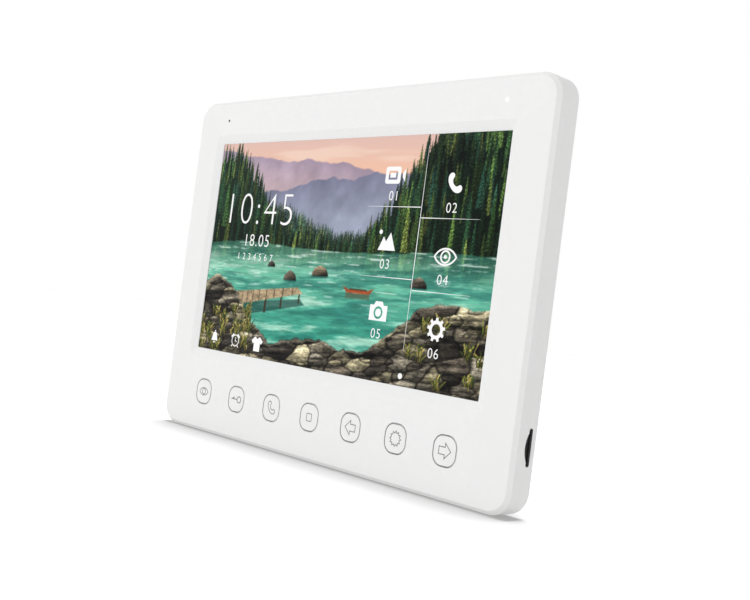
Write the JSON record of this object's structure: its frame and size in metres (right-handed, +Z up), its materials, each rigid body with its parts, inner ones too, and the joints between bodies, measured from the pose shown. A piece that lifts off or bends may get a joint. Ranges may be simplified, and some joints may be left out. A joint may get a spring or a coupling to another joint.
{
  "type": "video intercom monitor",
  "caption": "Wall-mounted colour video intercom monitor with a sunk landscape screen, a row of push keys, a side memory card slot and a hook-on steel wall bracket.",
  "frame": {"origin": "on the wall surface, at the centre of the bracket's screw pattern, which is also the centre of the casing's outline", "axes": "+X to the viewer's right along the casing's width, +Y from the front into the wall, +Z up"},
  "size_m": [0.1886, 0.02, 0.136],
  "materials": {
    "white_shell": "satin",
    "key_white": "satin",
    "screen_glass": "lit picture under an anti-glare polariser",
    "zinc_steel": "zinc-plated",
    "bright_steel": "rolled",
    "screw_steel": "zinc-plated",
    "white_frame": "matt",
    "film": "translucent",
    "clear_plastic": "clear",
    "led_strip": "gloss",
    "amber_flex": "gloss",
    "black_plastic": "moulded",
    "chip_black": "moulded",
    "circuit_board": "solder resist",
    "ivory_plastic": "moulded",
    "white_ribbon": "smooth",
    "can_aluminium": "drawn",
    "pin_brass": "tin-plated",
    "magnet_iron": "sintered",
    "cone_paper": "pulp",
    "foam": "foam",
    "lead_rubber": "insulated wire",
    "black_rubber": "moulded"
  },
  "bodies": {
    "bracket": {"wall_bracket": "zinc_steel"},
    "monitor": {"front_shell": "white_shell", "rear_shell": "white_shell", "lcd_bezel": "bright_steel", "lcd_cell": "screen_glass", "lcd_mid_frame": "white_frame", "diffuser_films": "film", "light_guide": "clear_plastic", "backlight_strip": "led_strip", "lcd_tray": "bright_steel", "lcd_flex": "amber_flex", "lcd_clips": "black_plastic", "front_screws": "screw_steel", "switch_bodies": "black_plastic", "key_board": "circuit_board", "card_socket": "bright_steel", "key_ribbon": "white_ribbon", "ribbon_connectors": "ivory_plastic", "main_board": "circuit_board", "main_board_screws": "screw_steel", "lcd_connector": "ivory_plastic", "processor": "chip_black", "memory_chips": "chip_black", "capacitors": "can_aluminium", "power_inductor": "chip_black", "crystal": "bright_steel", "battery_holder": "black_plastic", "clock_battery": "bright_steel", "wire_connectors": "ivory_plastic", "connector_pins": "pin_brass", "speaker_frame": "bright_steel", "speaker_magnet": "magnet_iron", "speaker_cone": "cone_paper", "speaker_gasket": "foam", "speaker_screws": "screw_steel", "lead_headers": "ivory_plastic", "speaker_lead": "lead_rubber", "microphone": "can_aluminium", "microphone_boot": "black_rubber", "front_leads": "lead_rubber", "light_pipe": "clear_plastic", "status_led": "led_strip", "led_board": "circuit_board", "shell_screws": "screw_steel"},
    "view_button": {"view_key": "key_white", "view_plunger": "chip_black"},
    "unlock_button": {"unlock_key": "key_white", "unlock_plunger": "chip_black"},
    "talk_button": {"talk_key": "key_white", "talk_plunger": "chip_black"},
    "stop_button": {"stop_key": "key_white", "stop_plunger": "chip_black"},
    "back_button": {"back_key": "key_white", "back_plunger": "chip_black"},
    "settings_button": {"settings_key": "key_white", "settings_plunger": "chip_black"},
    "forward_button": {"forward_key": "key_white", "forward_plunger": "chip_black"},
    "card": {"memory_card": "black_plastic"}
  },
  "joints": [
    {"name": "monitor_lift", "type": "slide", "parent": "bracket", "child": "monitor", "axis": [0, 0, 1], "range_m": [0, 0.0057]},
    {"name": "view_press", "type": "slide", "parent": "monitor", "child": "view_button", "axis": [0, 1, 0], "range_m": [0, 0.0003], "stiffness_N_per_m": 3000},
    {"name": "unlock_press", "type": "slide", "parent": "monitor", "child": "unlock_button", "axis": [0, 1, 0], "range_m": [0, 0.0003], "stiffness_N_per_m": 3000},
    {"name": "talk_press", "type": "slide", "parent": "monitor", "child": "talk_button", "axis": [0, 1, 0], "range_m": [0, 0.0003], "stiffness_N_per_m": 3000},
    {"name": "stop_press", "type": "slide", "parent": "monitor", "child": "stop_button", "axis": [0, 1, 0], "range_m": [0, 0.0003], "stiffness_N_per_m": 3000},
    {"name": "back_press", "type": "slide", "parent": "monitor", "child": "back_button", "axis": [0, 1, 0], "range_m": [0, 0.0003], "stiffness_N_per_m": 3000},
    {"name": "settings_press", "type": "slide", "parent": "monitor", "child": "settings_button", "axis": [0, 1, 0], "range_m": [0, 0.0003], "stiffness_N_per_m": 3000},
    {"name": "forward_press", "type": "slide", "parent": "monitor", "child": "forward_button", "axis": [0, 1, 0], "range_m": [0, 0.0003], "stiffness_N_per_m": 3000},
    {"name": "card_pull", "type": "slide", "parent": "monitor", "child": "card", "axis": [1, 0, 0], "range_m": [0, 0.016]}
  ]
}
